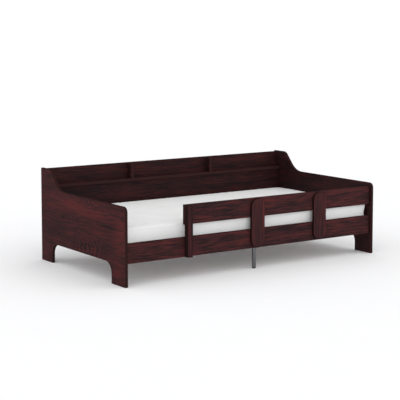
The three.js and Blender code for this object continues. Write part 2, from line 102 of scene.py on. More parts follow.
def place(tree):
    """Where a point lies on the bed, in metres."""
    return node(tree, "TexCoord").outputs["Object"]


floor_finish, tree, surface = finish_of(
    "studio_floor", Roughness=0.9, Specular_IOR_Level=0.0, Emission_Color=glow_colour,
    Emission_Strength=floor_glow)
dust = node(tree, "TexNoise", {}, {"Vector": place(tree), "Scale": 3.0, "Detail": 3.0})
shade = node(tree, "MapRange", {}, {"Value": dust.outputs[0], "To Min": floor_dust, "To Max": 1.0})
tinted = node(tree, "VectorMath", {"operation": "SCALE"}, {0: floor_white, "Scale": shade.outputs[0]})
tree.links.new(tinted.outputs[0], surface.inputs["Base Color"])

shape = bmesh.new()
bmesh.ops.create_circle(shape, cap_ends=True, segments=96, radius=floor_radius)
floor_mesh = bpy.data.meshes.new("studio_floor")
shape.to_mesh(floor_mesh)
shape.free()
floor_mesh.materials.append(floor_finish)
floor = bpy.data.objects.new("studio_floor", floor_mesh)
bpy.context.scene.collection.objects.link(floor)

world = bpy.data.worlds.new("studio")
world.use_nodes = True
tree = world.node_tree
height = node(tree, "SeparateXYZ", {}, {0: node(tree, "TexCoord").outputs["Generated"]}).outputs["Z"]
strength = node(tree, "MapRange", {}, {"Value": height, "To Min": dome_low, "To Max": dome_overhead})
background = tree.nodes["Background"].inputs
background["Color"].default_value = (1, 1, 1, 1)
tree.links.new(strength.outputs[0], background["Strength"])
bpy.context.scene.world = world
bpy.context.scene.view_settings.view_transform = "Standard"

lamp = bpy.data.objects.new("lamp", bpy.data.lights.new("lamp", "SUN"))
lamp.data.energy = lamp_strength
lamp.data.angle = lamp_spread
lamp.rotation_euler = lamp_direction.to_track_quat("-Z", "Y").to_euler()
bpy.context.scene.collection.objects.link(lamp)

# Gables
# The two ends of the bed, each one 16 mm board faced with dark red-brown wood-print laminate, sawn to
# shape and edged with a plain band. They carry the rails and the back boards on cams and bolts.
mm = 0.001
eased = 0.8 * mm
dark_brown = (0.0200, 0.0112, 0.0124, 1)
red_brown = (0.0435, 0.0160, 0.0170, 1)
bright_red_brown = (0.0880, 0.0215, 0.0215, 1)
face_band_browns = (0.0290, 0.0140, 0.0134, 1), (0.0435, 0.0210, 0.0201, 1)
gable_band_browns = (0.0225, 0.0105, 0.0100, 1), (0.0335, 0.0155, 0.0150, 1)
# The lighter red-brown of the eased corners is a painted highlight, where rounded edges would catch light
edge_highlight_browns = red_brown, (0.0620, 0.0190, 0.0180, 1)
band_fleck = 260
edge_highlight_fleck = 90
board_relief = 0.1 * mm
sway_width = 18 * mm
# How often a layer of streaks changes in a metre along the grain and across it, its detail and its share
broad_streaks = (2.5, 28, 3, 1.1)
short_streaks = (8, 150, 3, 1.7)
flecks = (18, 130, 2, 0.8)
pores = (60, 1400, 2, 0.6)
arc_bow = 2.2
arc_wander = 1.9


def new_group(name, inputs, outputs):
    """An effect that several finishes share; returns its tree, what it is given and what it gives."""
    tree = bpy.data.node_groups.new(name, "ShaderNodeTree")
    for socket, kind, value in inputs:
        made = tree.interface.new_socket(socket, in_out="INPUT", socket_type="NodeSocket" + kind)
        if value is not None:
            made.default_value = value
    for socket, kind in outputs:
        tree.interface.new_socket(socket, in_out="OUTPUT", socket_type="NodeSocket" + kind)
    return tree, tree.nodes.new("NodeGroupInput").outputs, tree.nodes.new("NodeGroupOutput").inputs


def calc(tree, operation, *values):
    """One step of arithmetic."""
    return node(tree, "Math", {"operation": operation}, dict(enumerate(values))).outputs[0]


def streaked(tree, vector, along, across, detail, **more):
    """Noise that runs with the grain, because it changes less often along it than across it."""
    scaled = node(tree, "VectorMath", {"operation": "MULTIPLY"}, {0: vector, 1: (along, across, across)})
    return node(tree, "TexNoise", {}, {"Vector": scaled.outputs[0], "Scale": 1.0, "Detail": detail, **more})


def centred(tree, noise):
    """A noise's value, moved to lie round zero."""
    return calc(tree, "SUBTRACT", noise.outputs[0], 0.5)


def ramp(tree, value, low, high, start=0.0, end=1.0):
    """A blend from one colour to another."""
    made = node(tree, "ValToRGB", {}, {"Fac": value})
    for stop, position, colour in zip(made.color_ramp.elements, (start, end), (low, high)):
        stop.position = position
        stop.color = colour
    return made


def dress(tree, surface, colour, roughness, height, strength, depth, **more):
    """Joins a finish's colour, roughness and relief to its surface shader."""
    relief = node(tree, "Bump", {}, {"Strength": strength, "Distance": depth, "Height": height, **more})
    tree.links.new(colour, surface.inputs["Base Color"])
    tree.links.new(roughness, surface.inputs["Roughness"])
    tree.links.new(relief.outputs[0], surface.inputs["Normal"])


wood_figure, given, gives = new_group(
    "Wood figure",
    [("Grain", "Vector", None), ("Drawn", "Float", 0.0), ("Tone", "Float", 1.0),
     ("Contrast", "Float", 1.0)],
    [("Colour", "Color"), ("Roughness", "Float"), ("Height", "Float")],
)
sway = streaked(wood_figure, given["Grain"], 2.2, 8, 1)
swayed = calc(wood_figure, "MULTIPLY", centred(wood_figure, sway), sway_width)
lean = node(wood_figure, "CombineXYZ", {}, {"Y": swayed})
bent = node(wood_figure, "VectorMath", {}, {0: given["Grain"], 1: lean.outputs[0]}).outputs[0]
layers = []
grain = 0.0
for along, across, detail, share in (broad_streaks, short_streaks, flecks, pores):
    streaks = streaked(wood_figure, bent, along, across, detail)
    layers.append(calc(wood_figure, "MULTIPLY", centred(wood_figure, streaks), share))
    grain = calc(wood_figure, "ADD", grain, layers[-1])
level = calc(wood_figure, "MULTIPLY_ADD", grain, given["Contrast"], 0.5)
level = calc(wood_figure, "ADD", level, given["Drawn"])
stain = ramp(wood_figure, level, dark_brown, bright_red_brown, 0.1, 0.95)
stain.color_ramp.elements.new(0.5).color = red_brown
toned = node(
    wood_figure, "VectorMath", {"operation": "SCALE"}, {0: stain.outputs[0], "Scale": given["Tone"]})
wood_figure.links.new(toned.outputs[0], gives["Colour"])
wood_figure.links.new(calc(wood_figure, "MULTIPLY_ADD", layers[1], 0.25, 0.5), gives["Roughness"])
wood_figure.links.new(calc(wood_figure, "ADD", layers[3], layers[1]), gives["Height"])


def distance_in(tree, off, reach):
    """How far a point is off the middle of a mark: 0 there and 1 at the end of its reach."""
    share = node(tree, "VectorMath", {"operation": "DIVIDE"}, {0: off, 1: reach})
    return node(tree, "VectorMath", {"operation": "LENGTH"}, {0: share.outputs[0]}).outputs["Value"]


def faded(tree, distance, whole, gone):
    """1 up to one distance, falling softly to 0 at another."""
    return node(tree, "MapRange", {"interpolation_type": "SMOOTHSTEP"}, {
        "Value": distance, "From Min": whole, "From Max": gone, "To Min": 1.0, "To Max": 0.0}).outputs[0]


soft_patch, given, gives = new_group(
    "Soft patch",
    [("Grain", "Vector", None), ("Middle", "Vector", None), ("Reach", "Vector", None),
     ("Strength", "Float", 0.1)],
    [("Patch", "Float")],
)
off = node(soft_patch, "VectorMath", {"operation": "SUBTRACT"}, {0: given["Grain"], 1: given["Middle"]})
ragged = centred(soft_patch, streaked(soft_patch, given["Grain"], 9, 90, 2))
away = calc(soft_patch, "ADD", distance_in(soft_patch, off.outputs[0], given["Reach"]), ragged)
patch = calc(soft_patch, "MULTIPLY", faded(soft_patch, away, 0.0, 1.0), given["Strength"])
soft_patch.links.new(patch, gives["Patch"])

flame, given, gives = new_group(
    "Flame figure",
    [("Grain", "Vector", None), ("Tip", "Vector", None), ("Reach", "Vector", None),
     ("Step", "Float", 0.04), ("Strength", "Float", 0.1)],
    [("Arcs", "Float")],
)
off = node(flame, "VectorMath", {"operation": "SUBTRACT"}, {0: given["Grain"], 1: given["Tip"]})
apart = node(flame, "SeparateXYZ", {}, {0: off.outputs[0]}).outputs
span = node(flame, "SeparateXYZ", {}, {0: given["Reach"]}).outputs
bow = calc(flame, "POWER", calc(flame, "ABSOLUTE", calc(flame, "DIVIDE", apart["Y"], span["Y"])), 2.0)
wander = streaked(flame, given["Grain"], 12, 40, 2)
turns = calc(flame, "DIVIDE", apart["X"], given["Step"])
turns = calc(flame, "SUBTRACT", turns, calc(flame, "MULTIPLY", bow, arc_bow))
turns = calc(flame, "ADD", turns, calc(flame, "MULTIPLY", wander.outputs[0], arc_wander))
arcs = calc(flame, "SINE", calc(flame, "MULTIPLY", turns, 2 * math.pi))
away = distance_in(flame, off.outputs[0], given["Reach"])
arcs = calc(flame, "MULTIPLY", arcs, faded(flame, away, 0.4, 1.1))
flame.links.new(calc(flame, "MULTIPLY", arcs, given["Strength"]), gives["Arcs"])


def grain_of(tree, along, across, shift=0.0):
    """The grain's own coordinates and the bed's axes; a shift through the board gives it another figure."""
    axes = node(tree, "SeparateXYZ", {}, {0: place(tree)}).outputs
    through = ({"X", "Y", "Z"} - {along, across}).pop()
    moved = calc(tree, "ADD", axes[through], shift)
    grain = node(tree, "CombineXYZ", {}, {"X": axes[along], "Y": axes[across], "Z": moved})
    return grain.outputs[0], axes


def laminate(name, along, across, tone=1.0, contrast=1.0, shift=0.0, patches=(), flames=(), gloss=0.03):
    """Wood-print laminate whose grain runs along one axis of the bed. A patch is (along, across, half its
    length, half its width, strength), its lengths in millimetres; a flame has the spacing of its arcs
    before its strength."""
    material, tree, surface = finish_of(name, Roughness=0.5, Specular_IOR_Level=gloss)
    grain, axes = grain_of(tree, along, across, shift)
    flat = node(tree, "CombineXYZ", {}, {"X": axes[along], "Y": axes[across]}).outputs[0]
    drawn = 0.0
    for u, v, length, width, strength in patches:
        patch = node(tree, "Group", {"node_tree": soft_patch}, {
            "Grain": flat, "Middle": (u * mm, v * mm, 0), "Reach": (length * mm, width * mm, 1),
            "Strength": strength})
        drawn = calc(tree, "ADD", drawn, patch.outputs[0])
    for u, v, length, width, step, strength in flames:
        arcs = node(tree, "Group", {"node_tree": flame}, {
            "Grain": flat, "Tip": (u * mm, v * mm, 0), "Reach": (length * mm, width * mm, 1),
            "Step": step * mm, "Strength": strength})
        drawn = calc(tree, "ADD", drawn, arcs.outputs[0])
    figure = node(tree, "Group", {"node_tree": wood_figure}, {
        "Grain": grain, "Drawn": drawn, "Tone": tone, "Contrast": contrast}).outputs
    dress(
        tree, surface, figure["Colour"], figure["Roughness"], figure["Height"], strength=0.25,
        depth=board_relief)
    return material


def edging(name, low, high, scale):
    """Plain brown edging with a fine fleck; low and high are its two tones."""
    material, tree, surface = finish_of(name, Roughness=0.45, Specular_IOR_Level=0.0)
    fleck = node(tree, "TexNoise", {}, {"Vector": place(tree), "Scale": scale, "Detail": 4.0}).outputs[0]
    tones = ramp(tree, fleck, low, high, 0.35, 0.65).outputs[0]
    dulled = calc(tree, "MULTIPLY_ADD", fleck, 0.2, 0.35)
    dress(tree, surface, tones, dulled, fleck, strength=0.2, depth=board_relief)
    return material


face_band = edging("edge_band", *face_band_browns, band_fleck)
gable_band = edging("gable_edge_band", *gable_band_browns, band_fleck)
# Painted highlight on the eased corners of the boards
painted_edge_highlight = edging("painted_highlight_edge", *edge_highlight_browns, edge_highlight_fleck)
drillings = [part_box(name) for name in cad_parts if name.startswith(("cam_", "screw_"))]


def at_drilling(point, reach=1.5 * mm):
    """True at a cam, bolt or screw, where the hole's edge stays as drilled."""
    return any(
        all(low[i] - reach < point[i] < high[i] + reach for i in range(3)) for low, high in drillings
    )


def merged_copy(name):
    """The shape of a CAD node with its loose triangles joined and its flat faces made whole."""
    shape = bmesh.new()
    shape.from_mesh(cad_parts[name].data)
    bmesh.ops.remove_doubles(shape, verts=shape.verts, dist=0.01 * mm)
    bmesh.ops.dissolve_limit(shape, angle_limit=math.radians(1), verts=shape.verts, edges=shape.edges)
    return shape


def ease_edges(shape, width, segments=3, corner=math.radians(30)):
    """Rounds the outer corners of a board and gives the new narrow faces back."""
    corners = [
        edge
        for edge in shape.edges
        if len(edge.link_faces) == 2
        and edge.calc_face_angle() > corner
        and not at_drilling((edge.verts[0].co + edge.verts[1].co) / 2)
    ]
    made = bmesh.ops.bevel(
        shape, geom=corners, offset=width, offset_type="OFFSET", segments=segments, profile=0.5,
        affect="EDGES", clamp_overlap=True, material=-1,
    )
    narrow = set(made["faces"])
    for face in shape.faces:
        face.smooth = True
    for edge in shape.edges:
        sides = [face in narrow for face in edge.link_faces]
        folded = len(sides) == 2 and edge.calc_face_angle() > corner and not all(sides)
        edge.smooth = not (folded or (any(sides) and not all(sides)))
    return narrow


def piece_of(shape, name, finishes, stands_for, body="root"):
    """Makes the shape a piece of the bed that stands for its CAD nodes and moves with a body."""
    mesh = bpy.data.meshes.new(name)
    shape.to_mesh(mesh)
    shape.free()
    for finish in finishes:
        mesh.materials.append(finish)
    piece = bpy.data.objects.new(name, mesh)
    bpy.context.scene.collection.objects.link(piece)
    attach(piece, body)
    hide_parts(*stands_for)
    return piece


def looks_along(face, axis):
    """True for a face that looks along an axis, either way."""
    return abs(face.normal["XYZ".index(axis)]) > 0.9


def board(name, face_finish, thickness, width=eased, band=face_band):
    """A board with laminate on its two large sides, a band round its edges and eased corners; the eased
    corners carry a lighter red-brown as a painted highlight.
    """
    shape = merged_copy(name)
    for face in shape.faces:
        face.material_index = 0 if looks_along(face, thickness) else 1
    for face in ease_edges(shape, width):
        face.material_index = 2
    return piece_of(shape, name + "_laminated", [face_finish, band, painted_edge_highlight], [name])


# The inner faces of the gables take their laminate darker, as painted shade inside the bed
inner_painted_shade = 0.54
inner_gloss = 0.07
inner_shift = 0.6
gable_patches = (
    (0, 342, 560, 60, 0.42),
    (-366, 70, 85, 90, 0.30),
    (400, 66, 75, 70, 0.22),
    (-240, 232, 240, 26, 0.20),
    (-390, 250, 110, 150, 0.34),
    (300, 200, 200, 70, -0.22),
    (-50, 140, 230, 70, -0.12),
    (330, 440, 160, 60, -0.10),
    (-290, 282, 140, 14, -0.40),
    (206, 266, 34, 16, -0.36),
)
gable_flames = (
    (-75, 143, 180, 78, 42, 0.27),
    (-60, 396, 130, 50, 36, 0.25),
    (75, 290, 60, 40, 30, 0.20),
)
for name, inner, shift, patches, flames in (
    ("left_gable", 1, 0.0, gable_patches, gable_flames),
    ("right_gable", -1, 1.7, gable_patches[:3], gable_flames[1:2]),
):
    outer_face = laminate(
        name + "_laminate", "Y", "Z", contrast=0.75, shift=shift, patches=patches, flames=flames,
        gloss=0.01)
    inner_face = laminate(
        name + "_inner_painted_shade_laminate", "Y", "Z", tone=inner_painted_shade, shift=shift + inner_shift, gloss=inner_gloss)
    gable = board(name, outer_face, "X", band=gable_band)
    gable.data.materials.append(inner_face)
    for face in gable.data.polygons:
        if face.material_index == 0 and face.normal.x * inner > 0:
            face.material_index = 3

# Front rail and guard rail
# Two long boards of the same laminate in one plane, with an open window between them and two dark eyes in
# the figure of each. Cams hold the lower one to both gables and the guard to the right one, and screws
# hold both to the posts.
front_rail_eyes = (
    (-190, 192, 60, 10, -0.50),
    (626, 195, 60, 10, -0.55),
    (-700, 160, 200, 25, 0.1),
    (250, 166, 260, 70, -0.22),
    (640, 166, 170, 60, 0.12),
)
guard_rail_eyes = (
    (-180, 335, 60, 10, -0.50),
    (631, 357, 60, 10, -0.55),
    (120, 372, 260, 14, 0.14),
    (250, 330, 260, 60, -0.18),
    (640, 330, 170, 60, 0.12),
)
for name, shift, eyes in (("front_rail", 0.0, front_rail_eyes), ("guard_rail", 0.4, guard_rail_eyes)):
    board(name, laminate(name + "_laminate", "X", "Z", contrast=1.25, shift=shift, patches=eyes), "Y")

# Guard posts
# A narrow square post at the free end of the guard and two wide boards with round ends, all upright in
# front of the rails and screwed from behind. Their grain stands upright. Along the right edge the wide
# ones carry a redder streak, a painted highlight of the rounded edge catching light; the narrow one is
# darker there.
streak_inset = 3
dark_band_browns = (0.0125, 0.0058, 0.0056, 1), (0.01875, 0.0087, 0.0084, 1)
post_band_browns = (0.0185, 0.0092, 0.0088, 1), (0.0270, 0.0135, 0.0130, 1)
dark_band = edging("dark_edge_band", *dark_band_browns, band_fleck)
post_band = edging("post_band", *post_band_browns, band_fleck)
# The streak along the right edge: a painted highlight on the wide posts, darker on the narrow one
for number, (name, rounded, tone, edge_highlight_and_dark_streak, band) in enumerate((
    ("left", 0.8, 0.88, -0.3, post_band),
    ("middle", 1.6, 1.0, 0.3, dark_band),
    ("right", 1.6, 1.0, 0.3, dark_band),
)):
    right_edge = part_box("guard_post_" + name)[1].x / mm
    finish = laminate(
        "guard_post_%s_laminate" % name, "Z", "X", tone=tone, contrast=0.8, shift=0.9 * number,
        patches=((250, right_edge - streak_inset, 600, 12, edge_highlight_and_dark_streak),))
    board("guard_post_" + name, finish, "Y", rounded * mm, band)

# Back, shelf and dividers
# The boards behind the mattress: a low back, a narrow shelf on top of it, a taller board behind the
# shelf and two upright dividers that part it in three bays.
# The back boards' laminate is darker than the front's: painted shade inside the bed
back_painted_shade = 0.66
for number, (name, along, across, thickness, gloss, patches) in enumerate((
    ("lower_back_board", "X", "Z", "Y", 0.06, ((-640, 350, 280, 90, -0.42),)),
    ("upper_back_board", "X", "Z", "Y", 0.06, ()),
    ("shelf", "X", "Y", "Z", 0.03, ()),
    ("shelf_divider_1", "Z", "Y", "X", 0.03, ()),
    ("shelf_divider_2", "Z", "Y", "X", 0.03, ()),
)):
    finish = laminate(
        name + "_laminate", along, across, tone=back_painted_shade, shift=0.31 * number, patches=patches,
        gloss=gloss)
    board(name, finish, thickness)

# Cleats and slats
# The bearers of the mattress, out of sight when it is in place: a birch batten along each side, and
# twelve slats of glued birch veneers across them, with their layers showing at the edges.
cleat_edge = 1.5 * mm
slat_edge = 2.5 * mm
veneer = 1.5 * mm
birch_relief = 0.2 * mm
birch_pale = (0.57, 0.49, 0.39, 1)
birch_warm = (0.46, 0.38, 0.29, 1)
glue_line = (0.24, 0.16, 0.11, 1)


def birch(name, along, across, layered):
    """Clear-finished birch; a layered one shows its veneers on the faces that cut them."""
    material, tree, surface = finish_of(name, Roughness=0.55, Specular_IOR_Level=0.4)
    grain, axes = grain_of(tree, along, across)
    streaks = streaked(tree, grain, 5, 110, 3, Distortion=0.4).outputs[0]
    colour = ramp(tree, streaks, birch_warm, birch_pale, 0.32, 0.66).outputs[0]
    if layered:
        layers = calc(tree, "SINE", calc(tree, "MULTIPLY", axes["Z"], 2 * math.pi / veneer))
        line = node(tree, "MapRange", {}, {"Value": layers, "From Min": 0.55, "From Max": 0.95})
        glued = node(tree, "Mix", {"data_type": "RGBA"}, {0: line.outputs[0], 6: colour, 7: glue_line})
        colour = glued.outputs[2]
    dulled = calc(tree, "MULTIPLY_ADD", streaks, 0.3, 0.4)
    dress(tree, surface, colour, dulled, streaks, strength=0.3, depth=birch_relief)
    return material


cleat_birch = birch("cleat_birch", "X", "Z", False)
for name in ("front_cleat", "rear_cleat"):
    shape = merged_copy(name)
    ease_edges(shape, cleat_edge)
    piece_of(shape, name + "_planed", [cleat_birch], [name])

slat_birch = birch("slat_birch", "Y", "X", False)
slat_layers = birch("slat_layers", "Y", "X", True)
for name in sorted(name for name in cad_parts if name.startswith("slat_")):
    shape = merged_copy(name)
    for face in shape.faces:
        face.material_index = 0 if looks_along(face, "Z") else 1
    ease_edges(shape, slat_edge)
    piece_of(shape, name + "_veneered", [slat_birch, slat_layers], [name])

# Cam connectors and screws
# Zinc fittings. The cams sit in the hidden faces of the rails and back boards and pull the bolts that
# stand in the gables; countersunk screws hold the posts, and pan-head screws the leg's plate.
zinc_grey = (0.52, 0.51, 0.48)
recess_shade_share = 0.45
plating_relief = 0.1 * mm
cam_depth = 12 * mm
cam_radius = 7.5 * mm
cam_chamfer = 0.4 * mm
cam_bolt_radius = 3 * mm
cam_bolt_depth = 7.6 * mm
# A cross recess is (length, width, depth)
cam_slot = (9.0 * mm, 1.6 * mm, 2.2 * mm)
screw_slot = (4.4 * mm, 0.9 * mm, 1.3 * mm)

handled_metal, given, gives = new_group(
    "Handled metal",
    [("Place", "Vector", None), ("Smooth", "Float", 0.2), ("Dull", "Float", 0.4)],
    [("Roughness", "Float"), ("Height", "Float")],
)
smudge = node(handled_metal, "TexNoise", {}, {"Vector": given["Place"], "Scale": 45.0, "Detail": 4.0})
hairline = streaked(handled_metal, given["Place"], 2600, 160, 2)
mixed = node(handled_metal, "MapRange", {}, {
    "Value": smudge.outputs[0], "From Min": 0.3, "From Max": 0.7, "To Min": given["Smooth"],
    "To Max": given["Dull"]})
handled_metal.links.new(mixed.outputs[0], gives["Roughness"])
handled_metal.links.new(hairline.outputs[0], gives["Height"])


def metal(name, colour, smooth, dull, relief_depth):
    """A bare or plated metal with smudges and hairline scratches."""
    material, tree, surface = finish_of(name, Metallic=1.0)
    worn = node(tree, "Group", {"node_tree": handled_metal}, {
        "Place": place(tree), "Smooth": smooth, "Dull": dull}).outputs
    tarnish = node(tree, "TexNoise", {}, {"Vector": place(tree), "Scale": 120.0, "Detail": 3.0})
    shade = node(tree, "MapRange", {}, {"Value": tarnish.outputs[0], "To Min": 0.86, "To Max": 1.08})
    tinted = node(tree, "VectorMath", {"operation": "SCALE"}, {0: colour, "Scale": shade.outputs[0]})
    dress(
        tree, surface, tinted.outputs[0], worn["Roughness"], worn["Height"], strength=0.15,
        depth=relief_depth)
    return material


zinc = metal("zinc", zinc_grey, 0.28, 0.5, plating_relief)
# The cross recesses take a darker zinc: painted shade in the hollows
recess_shadow = metal("zinc_painted_recess_shade", [tone * recess_shade_share for tone in zinc_grey], 0.4, 0.6, plating_relief)


def fixing(profile, slot, segments=24):
    """A round fixing whose head looks up, with a cross recess. Its profile of (radius, height) runs down
    from the rim of the head."""
    length, width, sink = slot
    shape = bmesh.new()
    bmesh.ops.create_grid(shape, x_segments=3, y_segments=3, size=1)
    for vert in shape.verts:
        for axis in (0, 1):
            outer = abs(vert.co[axis]) > 0.5
            vert.co[axis] = math.copysign(length / 2 if outer else width / 2, vert.co[axis])
    corners = [
        face for face in shape.faces
        if min(abs(face.calc_center_median().x), abs(face.calc_center_median().y)) > width / 2
    ]
    bmesh.ops.delete(shape, geom=corners, context="FACES")
    cross = list(shape.faces)
    rim = [edge for edge in shape.edges if edge.is_boundary]
    radius, height = profile[0]
    bmesh.ops.create_circle(shape, cap_ends=False, segments=segments, radius=radius)
    loop = [edge for edge in shape.edges if not edge.link_faces]
    bmesh.ops.bridge_loops(shape, edges=rim + loop)
    sunk = bmesh.ops.inset_region(
        shape, faces=cross, thickness=0.1 * width, depth=-sink, use_even_offset=True)
    # The recess faces take the second finish, the painted shade
    for face in cross + sunk["faces"]:
        face.material_index = 1
    bmesh.ops.translate(shape, verts=shape.verts, vec=(0, 0, height))
    for next_radius, next_height in profile[1:]:
        grown = bmesh.ops.extrude_edge_only(shape, edges=loop)["geom"]
        verts = [item for item in grown if isinstance(item, bmesh.types.BMVert)]
        ring = set(verts)
        loop = [
            item for item in grown
            if isinstance(item, bmesh.types.BMEdge) and ring.issuperset(item.verts)
        ]
        bmesh.ops.scale(shape, verts=verts, vec=(next_radius / radius, next_radius / radius, 1))
        bmesh.ops.translate(shape, verts=verts, vec=(0, 0, next_height - height))
        radius, height = next_radius, next_height
    bmesh.ops.contextual_create(shape, geom=loop)
    bmesh.ops.recalc_face_normals(shape, faces=shape.faces)
    return shape


def smooth_round(shape, corner=math.radians(32)):
    """Smooth shading, apart from real corners."""
    for face in shape.faces:
        face.smooth = True
    for edge in shape.edges:
        edge.smooth = len(edge.link_faces) == 2 and edge.calc_face_angle() < corner


# Every cam and screw was left at a turn of its own
facing_rear = Matrix.Rotation(math.radians(-90), 4, "X")
cams = sorted(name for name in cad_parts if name.startswith("cam_"))
for number, name in enumerate(cams):
    low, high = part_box(name)
    if low.x < 0:
        bolt_end = low.x
        axis_x = high.x - cam_radius
    else:
        bolt_end = high.x
        axis_x = low.x + cam_radius
    axis_z = (low.z + high.z) / 2
    shape = fixing([
        (cam_radius - cam_chamfer, 0), (cam_radius, -cam_chamfer), (cam_radius, -cam_depth)], cam_slot)
    turn = Matrix.Rotation(math.radians(25 + 47 * number), 4, "Z")
    seat = Matrix.Translation((axis_x, high.y, axis_z)) @ facing_rear @ turn
    bmesh.ops.transform(shape, matrix=seat, verts=shape.verts)
    bolt = bmesh.ops.create_cone(
        shape, cap_ends=True, cap_tris=False, segments=16, radius1=cam_bolt_radius,
        radius2=cam_bolt_radius, depth=abs(bolt_end - axis_x))["verts"]
    bolt_middle = Matrix.Translation(((bolt_end + axis_x) / 2, high.y - cam_bolt_depth, axis_z))
    laid = bolt_middle @ Matrix.Rotation(math.radians(90), 4, "Y")
    bmesh.ops.transform(shape, matrix=laid, verts=bolt)
    smooth_round(shape)
    piece_of(shape, name + "_cast", [zinc, recess_shadow], [name])

head_height = 2.4 * mm
head_radius = 4 * mm
shank_radius = 2 * mm
pan_head = [
    (2.2 * mm, 0), (3.4 * mm, -0.5 * mm), (head_radius, -1.5 * mm), (head_radius, -head_height),
    (shank_radius, -head_height)]
pan_tip_length = 1 * mm
pan_tip_radius = 0.4 * mm
sunk_head = [(3.8 * mm, 0), (head_radius, -0.2 * mm), (shank_radius, -head_height)]
sunk_tip_length = 3 * mm
sunk_tip_radius = 0.3 * mm
for number, name in enumerate(sorted(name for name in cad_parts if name.startswith("screw_"))):
    low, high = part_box(name)
    centre = (low + high) / 2
    if name.startswith("screw_leg"):
        tip = low.z - high.z
        shape = fixing([*pan_head, (shank_radius, tip + pan_tip_length), (pan_tip_radius, tip)], screw_slot)
        seat = Matrix.Translation((centre.x, centre.y, low.z)) @ Matrix.Rotation(math.pi, 4, "X")
    else:
        tip = low.y - high.y
        shape = fixing(
            [*sunk_head, (shank_radius, tip + sunk_tip_length), (sunk_tip_radius, tip)], screw_slot)
        seat = Matrix.Translation((centre.x, high.y, centre.z)) @ facing_rear
    turn = Matrix.Rotation(math.radians(13 * number), 4, "Z")
    bmesh.ops.transform(shape, matrix=seat @ turn, verts=shape.verts)
    smooth_round(shape)
    piece_of(shape, name + "_driven", [zinc, recess_shadow], [name])

# Middle leg
# A chromed steel tube with a square plate welded on top, screwed up under the front rail. A threaded
# plastic insert in its end takes the levelling screw, whose foot turns in a plastic pad.
chrome_grey = (0.15, 0.15, 0.154)
chrome_relief = 0.02 * mm
tube_radius = 11 * mm
plate_thickness = 2.5 * mm
bead_size = 1.6 * mm
bead_sunk = 0.1 * mm
bead_steps = 4

chrome = metal("chrome", chrome_grey, 0.08, 0.2, chrome_relief)
tube_low, tube_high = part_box("middle_leg")
leg_x = (tube_low.x + tube_high.x) / 2
leg_y = (tube_low.y + tube_high.y) / 2
plate_bottom = tube_high.z - plate_thickness


def turned(shape, profile, segments, closed=False, rounds=1, climb=0.0):
    """Spins a profile of (radius, height) about the leg's axis. With a climb, each turn rises by it, as a
    thread does."""
    verts = [shape.verts.new((leg_x + radius, leg_y, height)) for radius, height in profile]
    pairs = list(zip(verts, verts[1:])) + ([(verts[-1], verts[0])] if closed else [])
    edges = [shape.edges.new(pair) for pair in pairs]
    bmesh.ops.spin(
        shape, geom=verts + edges, cent=(leg_x, leg_y, 0), axis=(0, 0, 1),
        dvec=(0, 0, climb / segments), angle=2 * math.pi * rounds, steps=segments * rounds,
        use_merge=not climb)


def finished(shape, finish, name, stands_for, body="root"):
    """Turns the faces outward, shades them smoothly and makes the piece."""
    bmesh.ops.recalc_face_normals(shape, faces=shape.faces)
    smooth_round(shape)
    piece_of(shape, name, [finish], [stands_for], body)


shape = merged_copy("middle_leg")
bead = [(tube_radius - bead_sunk, plate_bottom + bead_sunk)]
for step in range(bead_steps + 1):
    angle = math.pi / 2 * step / bead_steps
    bead.append((
        tube_radius + bead_size * (1 - math.sin(angle)),
        plate_bottom - bead_size * (1 - math.cos(angle))))
bead.append((tube_radius - bead_sunk, plate_bottom - bead_size))
turned(shape, bead, 48, closed=True)
finished(shape, chrome, "middle_leg_chromed", "middle_leg")

plastic_relief = 0.05 * mm
plastic_blacks = (0.008, 0.008, 0.009, 1), (0.022, 0.022, 0.023, 1)
black_plastic, tree, surface = finish_of("black_plastic", Roughness=0.5, Specular_IOR_Level=0.4)
pebble = node(tree, "TexVoronoi", {}, {"Vector": place(tree), "Scale": 1500.0}).outputs[0]
haze = node(tree, "TexNoise", {}, {"Vector": place(tree), "Scale": 60.0, "Detail": 3.0}).outputs[0]
tones = ramp(tree, haze, *plastic_blacks).outputs[0]
dulled = calc(tree, "MULTIPLY_ADD", haze, 0.3, 0.35)
dress(tree, surface, tones, dulled, pebble, strength=0.3, depth=plastic_relief)

insert_bore = 4.3 * mm
insert_radius = 9.2 * mm
insert_lead = 0.4 * mm
insert_chamfer = 0.3 * mm
low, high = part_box("leg_insert")
shape = bmesh.new()
turned(shape, [
    (insert_bore + insert_lead, low.z), (insert_radius - insert_chamfer, low.z),
    (insert_radius, low.z + insert_chamfer), (insert_radius, high.z), (insert_bore, high.z),
    (insert_bore, low.z + insert_lead)], 48, closed=True)
finished(shape, black_plastic, "leg_insert_moulded", "leg_insert")

thread_pitch = 1.25 * mm
thread_radius = 4 * mm
thread_depth = 0.7 * mm
thread_core = thread_radius - thread_depth
thread_sunk = 0.1 * mm
foot_height = 1.8 * mm
foot_radius = 6 * mm
foot_chamfer = 0.3 * mm
foot_round = 0.2 * mm
join = 0.005 * mm
low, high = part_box("leg_adjusting_screw")
foot_top = low.z + foot_height
shape = bmesh.new()
turned(shape, [
    (0, low.z), (foot_radius - foot_chamfer, low.z), (foot_radius, low.z + foot_chamfer),
    (foot_radius, foot_top - foot_round), (foot_radius - foot_round, foot_top), (thread_core, foot_top),
    (thread_core, high.z), (0, high.z)], 32)
thread_start = foot_top + thread_sunk
thread_turns = int((high.z - foot_top) / thread_pitch) - 1
turned(shape, [
    (thread_core - thread_sunk, thread_start), (thread_radius, foot_top + 0.5 * thread_pitch),
    (thread_radius, foot_top + 0.62 * thread_pitch),
    (thread_core - thread_sunk, thread_start + thread_pitch)],
    24, rounds=thread_turns, climb=thread_pitch)
bmesh.ops.remove_doubles(shape, verts=shape.verts, dist=join)
bmesh.ops.holes_fill(shape, edges=[edge for edge in shape.edges if edge.is_boundary], sides=0)
finished(
    shape, zinc, "leg_adjusting_screw_threaded", "leg_adjusting_screw", body="adjusting_screw")

